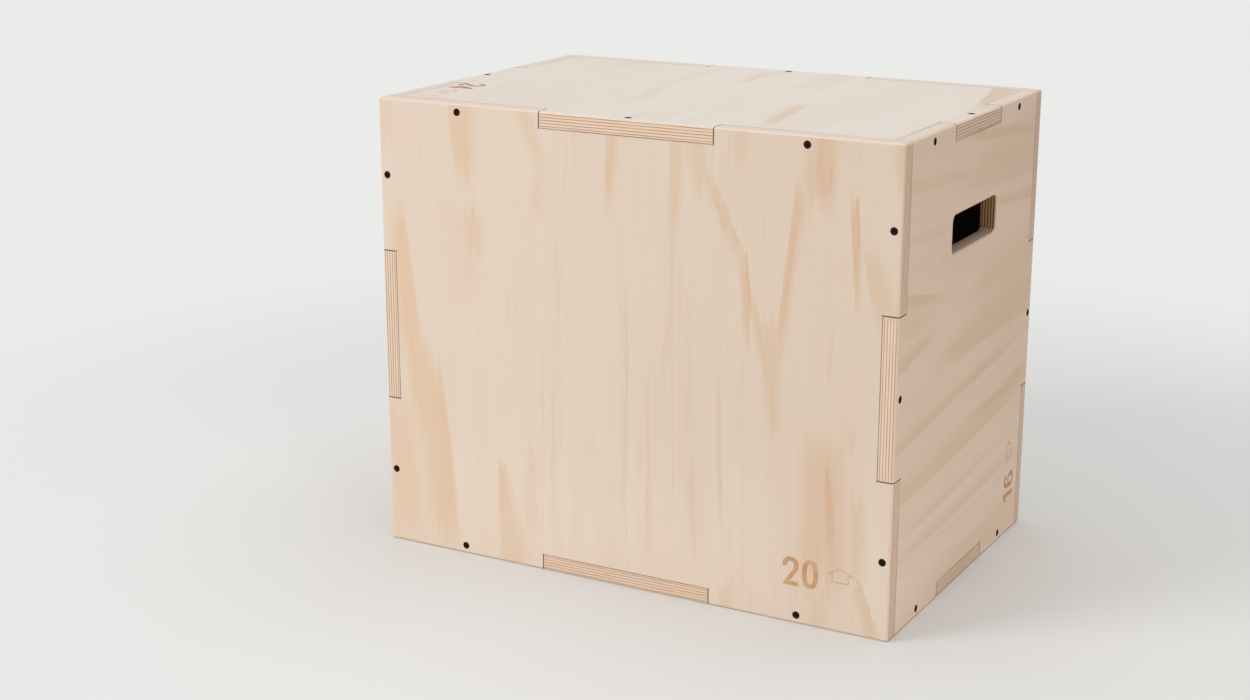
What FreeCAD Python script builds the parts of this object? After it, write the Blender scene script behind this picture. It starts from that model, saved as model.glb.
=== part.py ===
import FreeCAD, Part
import os

import Sketcher

# A plywood jump box that stands on any of its faces, so that it gives three step heights.
# Six panels interlock: on each of the twelve edges one long tab fills one notch.
# Countersunk wood screws hold every joint, two through the notched panel and one through the tab.
#
# Frame: millimetres, +Z up, +X to the right of the box and -Y to its front.
# The origin is the centre of the underside.

SIZES = {
    # outside of the box and the plywood that it is cut from
    "box_width": 609.6,
    "box_depth": 406.4,
    "box_height": 508.0,
    "panel_thickness": 18.0,
    # finger joints: the tab's length along each kind of edge, and its clearance at each end
    "width_tab": 203.2,
    "depth_tab": 135.5,
    "height_tab": 169.3,
    "tab_gap": 0.35,
    # the cutter leaves a round in each notch corner, and the tabs are eased to seat in it
    "cutter_radius": 3.0,
    # relief at the foot of each tab, where the notched panel's square edge seats
    "relief_diameter": 3.0,
    # round-over along the outside edges of the box
    "edge_round": 3.0,
    # hand holes in the side panels, measured from the top of the box to the hole's centre
    "hand_hole_width": 130.0,
    "hand_hole_height": 40.0,
    "hand_hole_drop": 115.0,
    "hand_hole_corner": 7.0,
    "hand_hole_bevel": 1.5,
    # wood screws, and how deep their heads lie under the face
    "screw_length": 45.0,
    "screw_diameter": 4.0,
    "screw_point": 6.0,
    "head_diameter": 7.4,
    "head_rim": 0.4,
    "head_angle": 90.0,
    "head_sink": 1.0,
    # clearance on a diameter around a screw, and past its point
    "screw_fit": 0.2,
    "pilot_spare": 1.0,
    # the screws are many and small, so each is round only to this number of flats
    "screw_sides": 8,
}

THICKNESS = "Sizes.panel_thickness"
HALF_WIDTH = "Sizes.box_width / 2"
HALF_DEPTH = "Sizes.box_depth / 2"
HALF_HEIGHT = "Sizes.box_height / 2"

# from the middle of a panel to the inner faces of the panels at its edges
CORE_X = "Sizes.box_width / 2 - Sizes.panel_thickness"
CORE_Y = "Sizes.box_depth / 2 - Sizes.panel_thickness"
CORE_Z = "Sizes.box_height / 2 - Sizes.panel_thickness"

# from the middle of a panel to a screw in the middle of its own thickness at an edge
EDGE_X = "(Sizes.box_width - Sizes.panel_thickness) / 2"
EDGE_Y = "(Sizes.box_depth - Sizes.panel_thickness) / 2"
EDGE_Z = "(Sizes.box_height - Sizes.panel_thickness) / 2"

# along an edge, a screw lies midway between the end of the tab and the end of the joint
SCREW_ALONG_WIDTH = "(Sizes.box_width + Sizes.width_tab) / 4"
SCREW_ALONG_HEIGHT = "(Sizes.box_height + Sizes.height_tab) / 4"
SCREW_ALONG_DEPTH = "(Sizes.box_depth - 2 * Sizes.panel_thickness + Sizes.depth_tab) / 4"

# numbers that a sketch gives to the ends of a line, to its own origin and to its axes
START, END = range(1, 3)
ORIGIN = (-1, START)
ACROSS_AXIS = -1
UPRIGHT_AXIS = -2

# directions of the corners of a relief, in degrees
RELIEF_CORNERS = range(30, 360, 60)

TOLERANCE = 1e-4
PROBE = 0.05

X_AXIS = FreeCAD.Vector(1, 0, 0)
Z_AXIS = FreeCAD.Vector(0, 0, 1)


def make_sheet(doc):
    """Writes the driving sizes into a sheet, one named cell each."""
    sheet = doc.addObject("Spreadsheet::Sheet", "Sizes")
    for row, (alias, value) in enumerate(SIZES.items(), start=1):
        sheet.set(f"A{row}", alias)
        sheet.set(f"B{row}", str(value))
        sheet.setAlias(f"B{row}", alias)
    doc.recompute()


def plus(distance):
    """A place on the positive side of an axis, at a distance from it."""
    return (1, distance)


def minus(distance):
    """A place on the negative side of an axis, at a distance from it."""
    return (-1, distance)


def coordinate(sketch, place):
    """The coordinate of a place, where None lies on the axis."""
    if place is None:
        return 0.0
    side, distance = place
    return side * float(sketch.evalExpression(distance))


def hold(sketch, direction, point, place):
    """Ties a sketch point to its place along one direction."""
    if place is None:
        axis = UPRIGHT_AXIS if direction == "DistanceX" else ACROSS_AXIS
        sketch.addConstraint(Sketcher.Constraint("PointOnObject", *point, axis))
        return
    side, distance = place
    ends = ORIGIN + point if side > 0 else point + ORIGIN
    value = abs(coordinate(sketch, place))
    number = sketch.addConstraint(Sketcher.Constraint(direction, *ends, value))
    sketch.setExpression(f"Constraints[{number}]", distance)


def polygon(sketch, corners):
    """Draws a closed outline of straight sides through corners given as pairs of places."""
    points = []
    for across, up in corners:
        points.append(FreeCAD.Vector(coordinate(sketch, across), coordinate(sketch, up), 0))
    count = len(corners)
    first = sketch.GeometryCount
    for index in range(count):
        sketch.addGeometry(Part.LineSegment(points[index], points[(index + 1) % count]))
    for index in range(count):
        following = first + (index + 1) % count
        sketch.addConstraint(Sketcher.Constraint("Coincident", first + index, END, following, START))
    for index, (across, up) in enumerate(corners):
        hold(sketch, "DistanceX", (first + index, START), across)
        hold(sketch, "DistanceY", (first + index, START), up)


def rectangle(sketch, left, right, bottom, top):
    """Draws a rectangle between four places."""
    polygon(sketch, [(left, bottom), (right, bottom), (right, top), (left, top)])


def relief(sketch, across, up):
    """Draws a small ring of flats about a place."""
    corners = []
    for angle in RELIEF_CORNERS:
        spots = []
        for (side, distance), wave in ((across, "cos"), (up, "sin")):
            offset = f"Sizes.relief_diameter / 2 * {wave}({angle} deg)"
            spots.append((side, f"{distance} + {side} * {offset}"))
        corners.append(tuple(spots))
    polygon(sketch, corners)


def same(first, second):
    """Whether two lengths agree."""
    return abs(first - second) < TOLERANCE


def ends_of(edge):
    """The points at the two ends of an edge."""
    return [vertex.Point for vertex in edge.Vertexes]


def runs_through_sheet(edge):
    """Whether an edge is straight and runs through the thickness of a flat panel."""
    ends = ends_of(edge)
    return len(ends) == 2 and same(edge.Length, abs(ends[0].z - ends[1].z))


def filled_quarters(shape, point):
    """How many of the four quarters round a point are solid: 1 outside a corner, 3 inside one."""
    steps = (-PROBE, PROBE)
    neighbours = [point + FreeCAD.Vector(dx, dy, 0) for dx in steps for dy in steps]
    return sum(shape.isInside(neighbour, TOLERANCE, True) for neighbour in neighbours)


class Panel:
    """A panel drawn flat, with its outer face at z = 0 and its thickness towards -z."""

    def __init__(self, doc, label, half_x, half_y):
        self.doc = doc
        self.body = doc.addObject("PartDesign::Body", label)
        self.half_x = half_x
        self.half_y = half_y

    def size(self, expression):
        """The present value of an expression of the sheet."""
        return float(self.body.evalExpression(expression))

    def plane(self, role):
        """One of the body's own origin planes."""
        return next(plane for plane in self.body.Origin.OriginFeatures if plane.Role == role)

    def sketch(self, name):
        """A sketch on the panel's outer face."""
        sketch = self.body.newObject("Sketcher::SketchObject", name)
        sketch.AttachmentSupport = (self.plane("XY_Plane"), [""])
        sketch.MapMode = "FlatFace"
        return sketch

    def pocket(self, sketch):
        """Cuts the outlines in a sketch right through the panel."""
        before = self.body.Shape.Volume
        pocket = self.body.newObject("PartDesign::Pocket", sketch.Name + "_cut")
        pocket.Profile = sketch
        pocket.Type = "ThroughAll"
        self.doc.recompute()
        self.confirm_cut(pocket, before)
        return pocket

    def mirror(self, feature, role):
        """Repeats a cut on the other side of an origin plane."""
        before = self.body.Shape.Volume
        mirror = self.body.newObject("PartDesign::Mirrored", feature.Name + "_mirrored")
        mirror.Originals = [feature]
        mirror.MirrorPlane = (self.plane(role), [""])
        self.body.Tip = mirror
        self.doc.recompute()
        self.confirm_cut(mirror, before)

    def confirm_cut(self, feature, before):
        """Stops the build if a cut took nothing away."""
        if feature.Shape.Volume > before - TOLERANCE:
            raise RuntimeError(f"{self.body.Label}: {feature.Name} cuts nothing")

    def dress(self, kind, name, wanted):
        """Starts a feature on every edge of the body that the test accepts."""
        base = self.body.Tip
        edges = enumerate(base.Shape.Edges, start=1)
        names = [f"Edge{number}" for number, edge in edges if wanted(edge)]
        feature = self.body.newObject(kind, name)
        feature.Base = (base, names)
        return feature

    def fillet(self, name, radius, wanted):
        """Rounds the edges that the test accepts."""
        self.dress("PartDesign::Fillet", name, wanted).setExpression("Radius", radius)
        self.doc.recompute()

    def bevel(self, name, size, wanted):
        """Bevels the edges that the test accepts."""
        self.dress("PartDesign::Chamfer", name, wanted).setExpression("Size", size)
        self.doc.recompute()

    def pad(self, name, half_x, half_y):
        """Adds a rectangle of plywood about the middle of the panel."""
        sketch = self.sketch(name)
        rectangle(sketch, minus(half_x), plus(half_x), minus(half_y), plus(half_y))
        pad = self.body.newObject("PartDesign::Pad", sketch.Name + "_pad")
        pad.Profile = sketch
        pad.Reversed = True
        pad.setExpression("Length", THICKNESS)
        self.doc.recompute()

    def notch_pair(self, name, along_x, half_length):
        """Cuts a notch, one panel thickness deep, in the middle of two opposite edges."""
        sketch = self.sketch(name)
        ends = (minus(half_length), plus(half_length))
        if along_x:
            floor = f"{self.half_y} - {THICKNESS}"
            rectangle(sketch, *ends, plus(floor), plus(f"{self.half_y} + {THICKNESS}"))
        else:
            floor = f"{self.half_x} - {THICKNESS}"
            rectangle(sketch, plus(floor), plus(f"{self.half_x} + {THICKNESS}"), *ends)
        notch = self.pocket(sketch)
        self.mirror(notch, "XZ_Plane" if along_x else "YZ_Plane")

    def round_notch_corners(self):
        """Leaves the cutter's round in every inside corner, while only notches have any."""
        shape = self.body.Shape

        def inside_corner(edge):
            return runs_through_sheet(edge) and filled_quarters(shape, edge.CenterOfMass) == 3

        self.fillet("notch_corners", "Sizes.cutter_radius", inside_corner)

    def ease_tabs(self):
        """Eases the inner arrises of the tabs to the round in the notch corners."""
        thickness = self.size(THICKNESS)
        floor_x = self.size(self.half_x) - thickness
        floor_y = self.size(self.half_y) - thickness

        def on_tab(edge):
            ends = ends_of(edge)
            if len(ends) != 2 or not all(same(end.z, -thickness) for end in ends):
                return False
            middle = edge.CenterOfMass
            outside = abs(middle.x) > floor_x + TOLERANCE or abs(middle.y) > floor_y + TOLERANCE
            return outside and same(edge.Length, thickness)

        self.fillet("tab_arrises", "Sizes.cutter_radius", on_tab)

    def relieve_tabs(self, name, across, up):
        """Cuts a relief at the foot of both corners of two opposite tabs."""
        sketch = self.sketch(name)
        for x_side in (plus, minus):
            for y_side in (plus, minus):
                relief(sketch, x_side(across), y_side(up))
        self.pocket(sketch)

    def round_outside(self):
        """Rounds the edges that lie on the outside edges of the box."""
        half_x = self.size(self.half_x)
        half_y = self.size(self.half_y)

        def on_box_edge(edge):
            ends = ends_of(edge)
            if len(ends) != 2:
                return False
            on_x = all(same(abs(end.x), half_x) for end in ends)
            on_y = all(same(abs(end.y), half_y) for end in ends)
            on_face = all(same(end.z, 0) for end in ends)
            return (on_x and on_y) or (on_face and (on_x or on_y))

        self.fillet("outside_edges", "Sizes.edge_round", on_box_edge)


def face_board(doc, label):
    """A front or back panel: the full width and height of the box, notched in all four edges."""
    panel = Panel(doc, label, HALF_WIDTH, HALF_HEIGHT)
    panel.pad("outline", HALF_WIDTH, HALF_HEIGHT)
    panel.notch_pair("width_notch", True, "Sizes.width_tab / 2 + Sizes.tab_gap")
    panel.notch_pair("height_notch", False, "Sizes.height_tab / 2 + Sizes.tab_gap")
    panel.round_notch_corners()
    panel.round_outside()
    return panel.body


def side_board(doc, label):
    """A left or right panel: full height, between front and back, with tabs, notches and a hand hole."""
    panel = Panel(doc, label, HALF_DEPTH, HALF_HEIGHT)
    half_tab = "Sizes.height_tab / 2"
    panel.pad("core", CORE_Y, HALF_HEIGHT)
    panel.notch_pair("depth_notch", True, "Sizes.depth_tab / 2 + Sizes.tab_gap")
    panel.round_notch_corners()
    panel.pad("tabs", HALF_DEPTH, half_tab)
    panel.ease_tabs()
    panel.round_outside()
    panel.relieve_tabs("reliefs", CORE_Y, half_tab)
    hand_hole(panel)
    return panel.body


def hand_hole(panel):
    """Cuts the hand hole of a side panel and bevels its rims."""
    half_width = "Sizes.hand_hole_width / 2"
    centre = "Sizes.box_height / 2 - Sizes.hand_hole_drop"
    low = f"{centre} - Sizes.hand_hole_height / 2"
    high = f"{centre} + Sizes.hand_hole_height / 2"
    sketch = panel.sketch("hand_hole")
    rectangle(sketch, minus(half_width), plus(half_width), plus(low), plus(high))
    panel.pocket(sketch)
    reach = panel.size(half_width) + TOLERANCE
    lowest = panel.size(low) - TOLERANCE
    highest = panel.size(high) + TOLERANCE

    def in_hole(edge):
        middle = edge.CenterOfMass
        return abs(middle.x) < reach and lowest < middle.y < highest

    def in_corner(edge):
        return in_hole(edge) and runs_through_sheet(edge)

    def on_rim(edge):
        return in_hole(edge) and not runs_through_sheet(edge)

    panel.fillet("hand_hole_corners", "Sizes.hand_hole_corner", in_corner)
    panel.bevel("hand_hole_rims", "Sizes.hand_hole_bevel", on_rim)


def deck_board(doc, label):
    """A top or bottom panel: inside the four walls, with a tab out through each of them."""
    panel = Panel(doc, label, HALF_WIDTH, HALF_DEPTH)
    half_width_tab = "Sizes.width_tab / 2"
    half_depth_tab = "Sizes.depth_tab / 2"
    panel.pad("core", CORE_X, CORE_Y)
    panel.pad("long_tabs", half_width_tab, HALF_DEPTH)
    panel.pad("short_tabs", HALF_WIDTH, half_depth_tab)
    panel.ease_tabs()
    panel.round_outside()
    panel.relieve_tabs("long_reliefs", half_width_tab, CORE_Y)
    panel.relieve_tabs("short_reliefs", CORE_X, half_depth_tab)
    return panel.body


def faceted(doc, label, levels, tip):
    """A solid through rings at (diameter, depth) levels from the top down, pointed if it has a tip."""
    sections = []
    for number, (diameter, depth) in enumerate(levels, start=1):
        ring = doc.addObject("Part::RegularPolygon", f"{label}_ring_{number}")
        ring.setExpression("Polygon", "Sizes.screw_sides")
        ring.setExpression("Circumradius", f"({diameter}) / 2")
        ring.setExpression(".Placement.Base.z", f"-({depth})")
        sections.append(ring)
    if tip:
        point = doc.addObject("Part::Vertex", f"{label}_tip")
        point.setExpression("Z", f"-({tip})")
        sections.append(point)
    solid = doc.addObject("Part::Loft", label)
    solid.Sections = sections
    solid.Solid = True
    solid.Ruled = True
    return solid


def screw_and_hole(doc):
    """A countersunk wood screw that hangs down from its head, and the hole that it sits in."""
    head = "Sizes.head_diameter"
    shank = "Sizes.screw_diameter"
    top = "Sizes.head_sink"
    rim = f"{top} + Sizes.head_rim"
    neck = f"{rim} + ({head} - {shank}) / 2 / tan(Sizes.head_angle / 2 * 1 deg)"
    tip = f"{top} + Sizes.screw_length"
    levels = [(head, top), (head, rim), (shank, neck), (shank, f"{tip} - Sizes.screw_point")]
    screw = faceted(doc, "wood_screw", levels, tip)
    mouth = f"{head} + Sizes.screw_fit"
    bore = f"{shank} + Sizes.screw_fit"
    above = f"-{top}"
    levels = [(mouth, above), (mouth, rim), (bore, neck), (bore, f"{tip} + Sizes.pilot_spare")]
    return screw, faceted(doc, "screw_hole", levels, None)


def place(piece, turn, base):
    """Turns a piece and ties its position to the sheet."""
    piece.Placement = FreeCAD.Placement(FreeCAD.Vector(), turn)
    for axis, expression in base.items():
        piece.setExpression(f".Placement.Base.{axis}", expression)


def pair(doc, solid, label, places):
    """Two copies of a solid at places on a panel's outer face, in that panel's flat frame."""
    links = []
    for number, (across, up) in enumerate(places, start=1):
        link = doc.addObject("App::Link", f"{label}_{number}")
        link.LinkedObject = solid
        base = {}
        for axis, spot in (("x", across), ("y", up)):
            if spot is not None:
                side, distance = spot
                base[axis] = distance if side > 0 else f"-({distance})"
        place(link, FreeCAD.Rotation(), base)
        links.append(link)
    return group(doc, label, links)


def group(doc, label, members):
    """Several solids kept apart in one object."""
    compound = doc.addObject("Part::Compound", label)
    compound.Links = members
    return compound


def face_screws(left, right):
    """Screw pairs of a front or back panel, whose left and right are named as the box's own."""
    along = SCREW_ALONG_WIDTH
    up = SCREW_ALONG_HEIGHT
    return {
        "top": [(minus(along), plus(EDGE_Z)), (plus(along), plus(EDGE_Z))],
        "bottom": [(minus(along), minus(EDGE_Z)), (plus(along), minus(EDGE_Z))],
        left: [(minus(EDGE_X), plus(up)), (minus(EDGE_X), minus(up))],
        right: [(plus(EDGE_X), plus(up)), (plus(EDGE_X), minus(up))],
    }


def side_screws():
    """Screw pairs of a left or right panel."""
    along = SCREW_ALONG_DEPTH
    return {
        "top": [(minus(along), plus(EDGE_Z)), (plus(along), plus(EDGE_Z))],
        "bottom": [(minus(along), minus(EDGE_Z)), (plus(along), minus(EDGE_Z))],
        "tab": [(minus(EDGE_Y), None), (plus(EDGE_Y), None)],
    }


def deck_screws():
    """Screw pairs of a top or bottom panel."""
    return {
        "long_tab": [(None, minus(EDGE_Y)), (None, plus(EDGE_Y))],
        "short_tab": [(minus(EDGE_X), None), (plus(EDGE_X), None)],
    }


def build(doc):
    """Makes every panel and screw pair in its place and returns them."""
    make_sheet(doc)
    screw, hole = screw_and_hole(doc)
    facing_front = FreeCAD.Rotation(X_AXIS, 90)
    facing_back = FreeCAD.Rotation(Z_AXIS, 180) * facing_front
    facing_right = FreeCAD.Rotation(Z_AXIS, 90) * facing_front
    facing_left = FreeCAD.Rotation(Z_AXIS, -90) * facing_front
    facing_up = FreeCAD.Rotation()
    facing_down = FreeCAD.Rotation(X_AXIS, 180)
    at_front = {"y": f"-{HALF_DEPTH}", "z": HALF_HEIGHT}
    at_back = {"y": HALF_DEPTH, "z": HALF_HEIGHT}
    at_right = {"x": HALF_WIDTH, "z": HALF_HEIGHT}
    at_left = {"x": f"-{HALF_WIDTH}", "z": HALF_HEIGHT}
    at_top = {"z": "Sizes.box_height"}
    panels = [
        ("front", face_board, face_screws("left", "right"), facing_front, at_front),
        ("back", face_board, face_screws("right", "left"), facing_back, at_back),
        ("right", side_board, side_screws(), facing_right, at_right),
        ("left", side_board, side_screws(), facing_left, at_left),
        ("top", deck_board, deck_screws(), facing_up, at_top),
        ("bottom", deck_board, deck_screws(), facing_down, {}),
    ]
    boards = []
    pieces = []
    holes = []
    for name, make, screws, turn, base in panels:
        board = make(doc, f"{name}_board")
        place(board, turn, base)
        boards.append((name, board))
        for edge, places in screws.items():
            screw_pair = pair(doc, screw, f"{name}_{edge}_screws", places)
            hole_pair = pair(doc, hole, f"{name}_{edge}_holes", places)
            place(screw_pair, turn, base)
            place(hole_pair, turn, base)
            pieces.append(screw_pair)
            holes.append(hole_pair)
    all_holes = group(doc, "all_holes", holes)
    for name, board in boards:
        pieces.append(drilled(doc, f"{name}_panel", board, all_holes))
    return pieces


def drilled(doc, label, board, holes):
    """A board with the screw holes that meet it."""
    panel = doc.addObject("Part::Cut", label)
    panel.Base = board
    panel.Tool = holes
    doc.recompute()
    if panel.Shape.Volume > board.Shape.Volume - TOLERANCE:
        raise RuntimeError(f"{label} has no screw holes")
    return panel


def check(doc, pieces):
    """Stops if anything in the document failed or any piece is not a sound solid."""
    for item in doc.Objects:
        if "Invalid" in item.State or "Error" in item.State:
            raise RuntimeError(f"{item.Label} failed: {item.State}")
    for piece in pieces:
        if piece.Shape.isNull() or not piece.Shape.isValid() or not piece.Shape.Solids:
            raise RuntimeError(f"{piece.Label} is not a sound solid")


def write(pieces):
    """Writes each piece to a file named after it."""
    os.makedirs("parts", exist_ok=True)
    for piece in pieces:
        piece.Shape.exportStep(f"parts/{piece.Label}.step")


document = FreeCAD.newDocument("JumpBox")
all_pieces = build(document)
check(document, all_pieces)
write(all_pieces)
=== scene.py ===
from math import radians

import bmesh
import bpy
import numpy as np
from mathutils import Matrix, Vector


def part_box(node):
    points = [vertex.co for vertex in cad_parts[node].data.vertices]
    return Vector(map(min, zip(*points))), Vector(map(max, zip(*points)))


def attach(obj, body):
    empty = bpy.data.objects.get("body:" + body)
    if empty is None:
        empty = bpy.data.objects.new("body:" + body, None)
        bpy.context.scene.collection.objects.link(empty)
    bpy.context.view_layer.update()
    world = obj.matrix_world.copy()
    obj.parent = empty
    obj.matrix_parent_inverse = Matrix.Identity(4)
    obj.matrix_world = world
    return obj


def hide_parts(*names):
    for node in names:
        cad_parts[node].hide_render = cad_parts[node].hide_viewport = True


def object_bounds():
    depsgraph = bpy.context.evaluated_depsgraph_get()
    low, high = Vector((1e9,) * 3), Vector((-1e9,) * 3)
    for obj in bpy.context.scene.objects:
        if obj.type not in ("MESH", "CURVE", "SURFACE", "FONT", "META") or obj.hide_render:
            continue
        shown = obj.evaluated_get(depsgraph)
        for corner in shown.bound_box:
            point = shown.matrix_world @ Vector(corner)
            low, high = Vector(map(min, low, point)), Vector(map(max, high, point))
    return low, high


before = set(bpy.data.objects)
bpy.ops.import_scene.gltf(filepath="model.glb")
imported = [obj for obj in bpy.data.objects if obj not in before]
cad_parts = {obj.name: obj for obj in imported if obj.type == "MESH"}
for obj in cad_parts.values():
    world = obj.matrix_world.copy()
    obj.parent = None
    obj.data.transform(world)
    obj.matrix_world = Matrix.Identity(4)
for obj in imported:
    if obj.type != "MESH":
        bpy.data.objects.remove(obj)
cad_low, cad_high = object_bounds()

# the box's outside and its plywood, in millimetres
MM = 1000.0
WIDTH, DEPTH, HEIGHT = (MM * (high - low) for low, high in zip(cad_low, cad_high))
THICKNESS = 18.0

# eleven plies: six pale ones with five thin dark cross plies between them
PALE_PLY = 2.3
DARK_PLY = 0.84
PLY_PITCH = PALE_PLY + DARK_PLY

# a tab and its notch take the middle third of an edge
TAB_SHARE = 1 / 3

# the hand hole in each side panel: its height and width, its middle under the top, the bevel of its rim
HAND_HOLE_SIZE = (40.0, 130.0)
HAND_HOLE_DROP = 115.0
HAND_HOLE_BEVEL = 1.5


def srgb(red, green, blue):
    """A colour given in display values from 0 to 255, as linear red, green, blue and alpha."""
    shown = np.array([red, green, blue]) / 255
    linear = np.where(shown <= 0.04045, shown / 12.92, ((shown + 0.055) / 1.055) ** 2.4)
    return (*linear.tolist(), 1.0)


# early wood of each sheet, and the late wood of all, at a sheet's near and far side across the grain
FRONT_GROUND = (srgb(224, 207, 191), srgb(216, 199, 182))
# the right sheet is paler at the foot and darker at the top: partly its own tone, partly painted light
RIGHT_GROUND_AND_PAINTED_LIGHT = (srgb(231, 208, 190), srgb(223, 199, 177))
TOP_GROUND = (srgb(226, 216, 206), srgb(228, 218, 208))
BACK_GROUND = (srgb(228, 210, 193), srgb(222, 204, 186))
LEFT_GROUND = (srgb(230, 211, 194), srgb(222, 202, 183))
BOTTOM_GROUND = (srgb(224, 208, 191), srgb(220, 203, 185))
LATE_WOOD = (srgb(221, 183, 144), srgb(207, 174, 142))

# factors on the early wood in warm and in dull patches, and near the floor, where the paler tone is painted
# light; and on the edges at the sides
WARM_TONE = (0.985, 0.965, 0.945, 1.0)
DULL_TONE = (0.965, 0.955, 0.945, 1.0)
PAINTED_FOOT_LIGHT = (1.06, 1.06, 1.06, 1.0)
SIDE_EDGE_TONE = (0.90, 0.885, 0.87, 1.0)

# back veneer and flecks, plies as they are sawn, paler at the top edges, and cut for the hand hole, darkened
# partly as rough wood and partly as painted shade; glue, seams darkened partly as painted shadow, and the
# painted shade of screw countersinks
BACK_VENEER = srgb(150, 122, 96)
FLECK = srgb(170, 138, 108)
PLY_LIGHT = srgb(231, 206, 183)
PLY_DARK = srgb(181, 142, 112)
PALE_TOP_EDGE_TONE = srgb(232, 221, 211)
SHADED_CUT_PALE_PLY = srgb(178, 138, 101)
SHADED_CUT_DARK_PLY = srgb(82, 53, 31)
GLUE_LINE = srgb(140, 104, 78)
SEAM_GLUE_AND_PAINTED_SHADOW = srgb(92, 56, 32)
SCREW_HOLE_PAINTED_SHADE = srgb(40, 25, 14)

# the light and the dark tone of each burnt mark
BURNT_TONES = {
    "burnt_mark": (srgb(206, 165, 125), srgb(184, 139, 100)),
    "deep_burnt_mark": (srgb(186, 146, 102), srgb(152, 112, 74)),
    "faint_burnt_mark": (srgb(216, 182, 149), srgb(199, 161, 126)),
}

# screws, floor and room
BLACK_OXIDE = srgb(36, 23, 14)
BLACK_OXIDE_WORN = srgb(54, 38, 27)
BACKDROP = srgb(235, 235, 234)
FLOOR_TONE = srgb(238, 238, 237)
FLOOR_SHADE = srgb(233, 233, 232)
ROOM_TONE = srgb(228, 228, 228)


class Wire:
    """A value in a finish's nodes. Arithmetic on it adds Math nodes."""

    def __init__(self, finish, socket):
        self.finish = finish
        self.socket = socket

    def __add__(self, other):
        return self.finish.math("ADD", self, other)

    def __radd__(self, other):
        return self.finish.math("ADD", other, self)

    def __sub__(self, other):
        return self.finish.math("SUBTRACT", self, other)

    def __rsub__(self, other):
        return self.finish.math("SUBTRACT", other, self)

    def __mul__(self, other):
        return self.finish.math("MULTIPLY", self, other)

    def __rmul__(self, other):
        return self.finish.math("MULTIPLY", other, self)

    def __truediv__(self, other):
        return self.finish.math("DIVIDE", self, other)

    def __rtruediv__(self, other):
        return self.finish.math("DIVIDE", other, self)

    def __abs__(self):
        return self.finish.math("ABSOLUTE", self)


class Finish:
    """The nodes of a material or of the room, with which its finish is worked out."""

    def __init__(self, block):
        block.use_nodes = True
        self.block = block
        self.tree = block.node_tree
        self.tree.nodes.clear()

    def node(self, kind, settings, sockets, output=0):
        """Adds a node: first its settings, then the values or links of its sockets."""
        made = self.tree.nodes.new(kind)
        for name, value in settings.items():
            setattr(made, name, value)
        for name, value in sockets.items():
            if isinstance(value, Wire):
                self.tree.links.new(value.socket, made.inputs[name])
            else:
                made.inputs[name].default_value = value
        return Wire(self, made.outputs[output]) if made.outputs else None

    def math(self, operation, *values):
        """One Math node on up to three values."""
        return self.node("ShaderNodeMath", {"operation": operation}, dict(enumerate(values)))

    def most(self, first, second):
        """The larger of two values."""
        return self.math("MAXIMUM", first, second)

    def rise(self, low, high, value):
        """A smooth step from 0 at low to 1 at high."""
        sockets = {"Value": value, "From Min": low, "From Max": high}
        return self.node("ShaderNodeMapRange", {"interpolation_type": "SMOOTHSTEP"}, sockets)

    def blend(self, amount, first, second, kind="MIX"):
        """A mix of two colours."""
        settings = {"data_type": "RGBA", "blend_type": kind}
        return self.node("ShaderNodeMix", settings, {0: amount, 6: first, 7: second}, 2)

    def coordinates(self):
        """The place on the piece in millimetres, as three values."""
        place = self.node("ShaderNodeTexCoord", {}, {}, "Object")
        split = [self.node("ShaderNodeSeparateXYZ", {}, {0: place}, axis) for axis in "XYZ"]
        return [value * MM for value in split]

    def noise(self, x, y, z, detail=2.0, roughness=0.5):
        """Smooth noise about 0.5 at a place given by three values."""
        place = self.node("ShaderNodeCombineXYZ", {}, {"X": x, "Y": y, "Z": z})
        sockets = {"Vector": place, "Scale": 1.0, "Detail": detail, "Roughness": roughness}
        return self.node("ShaderNodeTexNoise", {}, sockets)

    def cloud(self, place, spans, detail=2.0):
        """Smooth noise at a place, with one span in millimetres or one for each of the three directions."""
        x, y, z = (value / span for value, span in zip(place, np.broadcast_to(spans, 3).tolist()))
        return self.noise(x, y, z, detail)

    def grain(self, across, along, seed, figure, roughness=0.5):
        """Noise stretched along the grain. Its figure holds spans across and along, own seed and detail."""
        span_across, span_along, own_seed, detail = figure
        return self.noise(across / span_across, along / span_along, seed + own_seed, detail, roughness)

    def seen(self):
        """1 on rays from the camera, from a reflection or through glass, 0 on the rays of soft light."""
        rays = [self.node("ShaderNodeLightPath", {}, {}, f"Is {kind} Ray")
                for kind in ("Camera", "Glossy", "Transmission")]
        return self.math("MINIMUM", rays[0] + rays[1] + rays[2], 1.0)

    def shader(self, constants, changing, relief, relief_depth):
        """A Principled shader with a fine relief under the light."""
        bump = {"Height": relief, "Strength": 1.0, "Distance": relief_depth}
        normal = self.node("ShaderNodeBump", {}, bump)
        return self.node("ShaderNodeBsdfPrincipled", {}, {**constants, **changing, "Normal": normal})

    def surface(self, shader):
        """Ends a material's nodes in a shader."""
        self.node("ShaderNodeOutputMaterial", {}, {"Surface": shader})
        return self.block


def between(low, high, share):
    """The value at a share of the way from low to high."""
    return low + (high - low) * share


def finish_named(name):
    """A finish on a new material."""
    return Finish(bpy.data.materials.new(name))


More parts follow.
